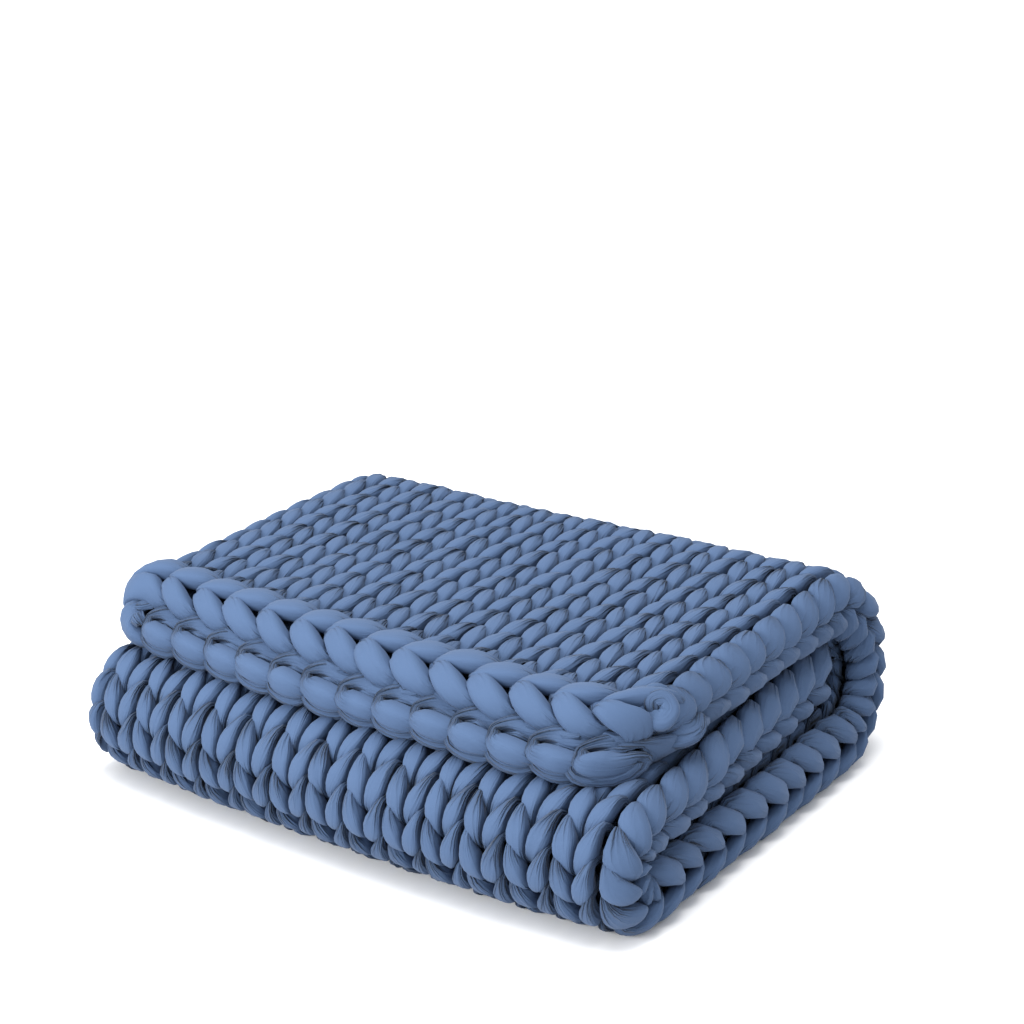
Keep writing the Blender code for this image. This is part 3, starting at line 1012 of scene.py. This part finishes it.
class OBJECT_OT_blanket_back_fold(bpy.types.Operator):
    """Knit the courses round the back fold."""

    bl_idname = "object.blanket_back_fold"
    bl_label = "Back fold"

    def execute(self, context):
        declare(knit_piece("knit_back_fold"))
        return {"FINISHED"}


class OBJECT_OT_blanket_underside(bpy.types.Operator):
    """Knit the courses underneath."""

    bl_idname = "object.blanket_underside"
    bl_label = "Underside"

    def execute(self, context):
        declare(knit_piece("knit_underside"))
        return {"FINISHED"}


class OBJECT_OT_blanket_front_fold(bpy.types.Operator):
    """Knit the courses round the front fold."""

    bl_idname = "object.blanket_front_fold"
    bl_label = "Front fold"

    def execute(self, context):
        declare(knit_piece("knit_front_fold"))
        return {"FINISHED"}


class OBJECT_OT_blanket_inside(bpy.types.Operator):
    """Knit the hidden courses and the inner half."""

    bl_idname = "object.blanket_inside"
    bl_label = "Inner courses"

    def execute(self, context):
        declare(knit_piece("knit_inside"))
        declare(knit_piece("knit_inner_half"))
        return {"FINISHED"}


class OBJECT_OT_blanket_bound_edge(bpy.types.Operator):
    """Bind off the first course with a chain that goes round the left fold."""

    bl_idname = "object.blanket_bound_edge"
    bl_label = "Bound-off chain"

    def execute(self, context):
        rng = np.random.default_rng(SEED)
        pile = Pile()
        for wale in range(2 * WALES):
            table = LINK if wale < INNER_FROM else INNER_LINK
            shape = {0: OUTER_LAST, 2 * WALES - 1: INNER_LAST}.get(wale, WHOLE)
            pile.tube(*chain_link(table, wale + 0.5, rng, shape))
        pile.tube(*knot())
        pile.tube(*tail())
        declare(pile.mesh("bound_edge", jersey()))
        return {"FINISHED"}


class OBJECT_OT_blanket_stage(bpy.types.Operator):
    """Set up the floor, the lights and the camera."""

    bl_idname = "object.blanket_stage"
    bl_label = "Studio"

    def execute(self, context):
        scene = context.scene
        add_camera(scene, scene.blanket_studio)
        add_floor(scene, scene.blanket_look.floor_colour)
        for box in SOFT_BOXES:
            add_soft_box(scene, **box)
        add_room_light(scene)
        scene.view_settings.view_transform = "Standard"
        scene.view_settings.look = "Medium High Contrast"
        return {"FINISHED"}


class VIEW3D_PT_blanket(bpy.types.Panel):
    """Lists the blanket's pieces in the sidebar."""

    bl_idname = "VIEW3D_PT_blanket"
    bl_label = "Folded blanket"
    bl_space_type = "VIEW_3D"
    bl_region_type = "UI"
    bl_category = "Blanket"

    def draw(self, context):
        column = self.layout.column()
        for group in (context.scene.blanket_look, context.scene.blanket_studio):
            for name in group.__annotations__:
                column.prop(group, name)
        for operator in PIECES:
            column.operator(operator.bl_idname)


PIECES = (
    OBJECT_OT_blanket_stage,
    OBJECT_OT_blanket_top,
    OBJECT_OT_blanket_back_fold,
    OBJECT_OT_blanket_underside,
    OBJECT_OT_blanket_front_fold,
    OBJECT_OT_blanket_inside,
    OBJECT_OT_blanket_bound_edge,
)
CLASSES = (BlanketLook, BlanketStudio, *PIECES, VIEW3D_PT_blanket)


def register():
    for cls in CLASSES:
        bpy.utils.register_class(cls)
    bpy.types.Scene.blanket_look = PointerProperty(type=BlanketLook)
    bpy.types.Scene.blanket_studio = PointerProperty(type=BlanketStudio)


def unregister():
    del bpy.types.Scene.blanket_studio
    del bpy.types.Scene.blanket_look
    for cls in reversed(CLASSES):
        bpy.utils.unregister_class(cls)


def main():
    """Builds everything in order."""
    register()
    for operator in PIECES:
        group, name = operator.bl_idname.split(".")
        getattr(getattr(bpy.ops, group), name)()


if __name__ == "__main__":
    main()
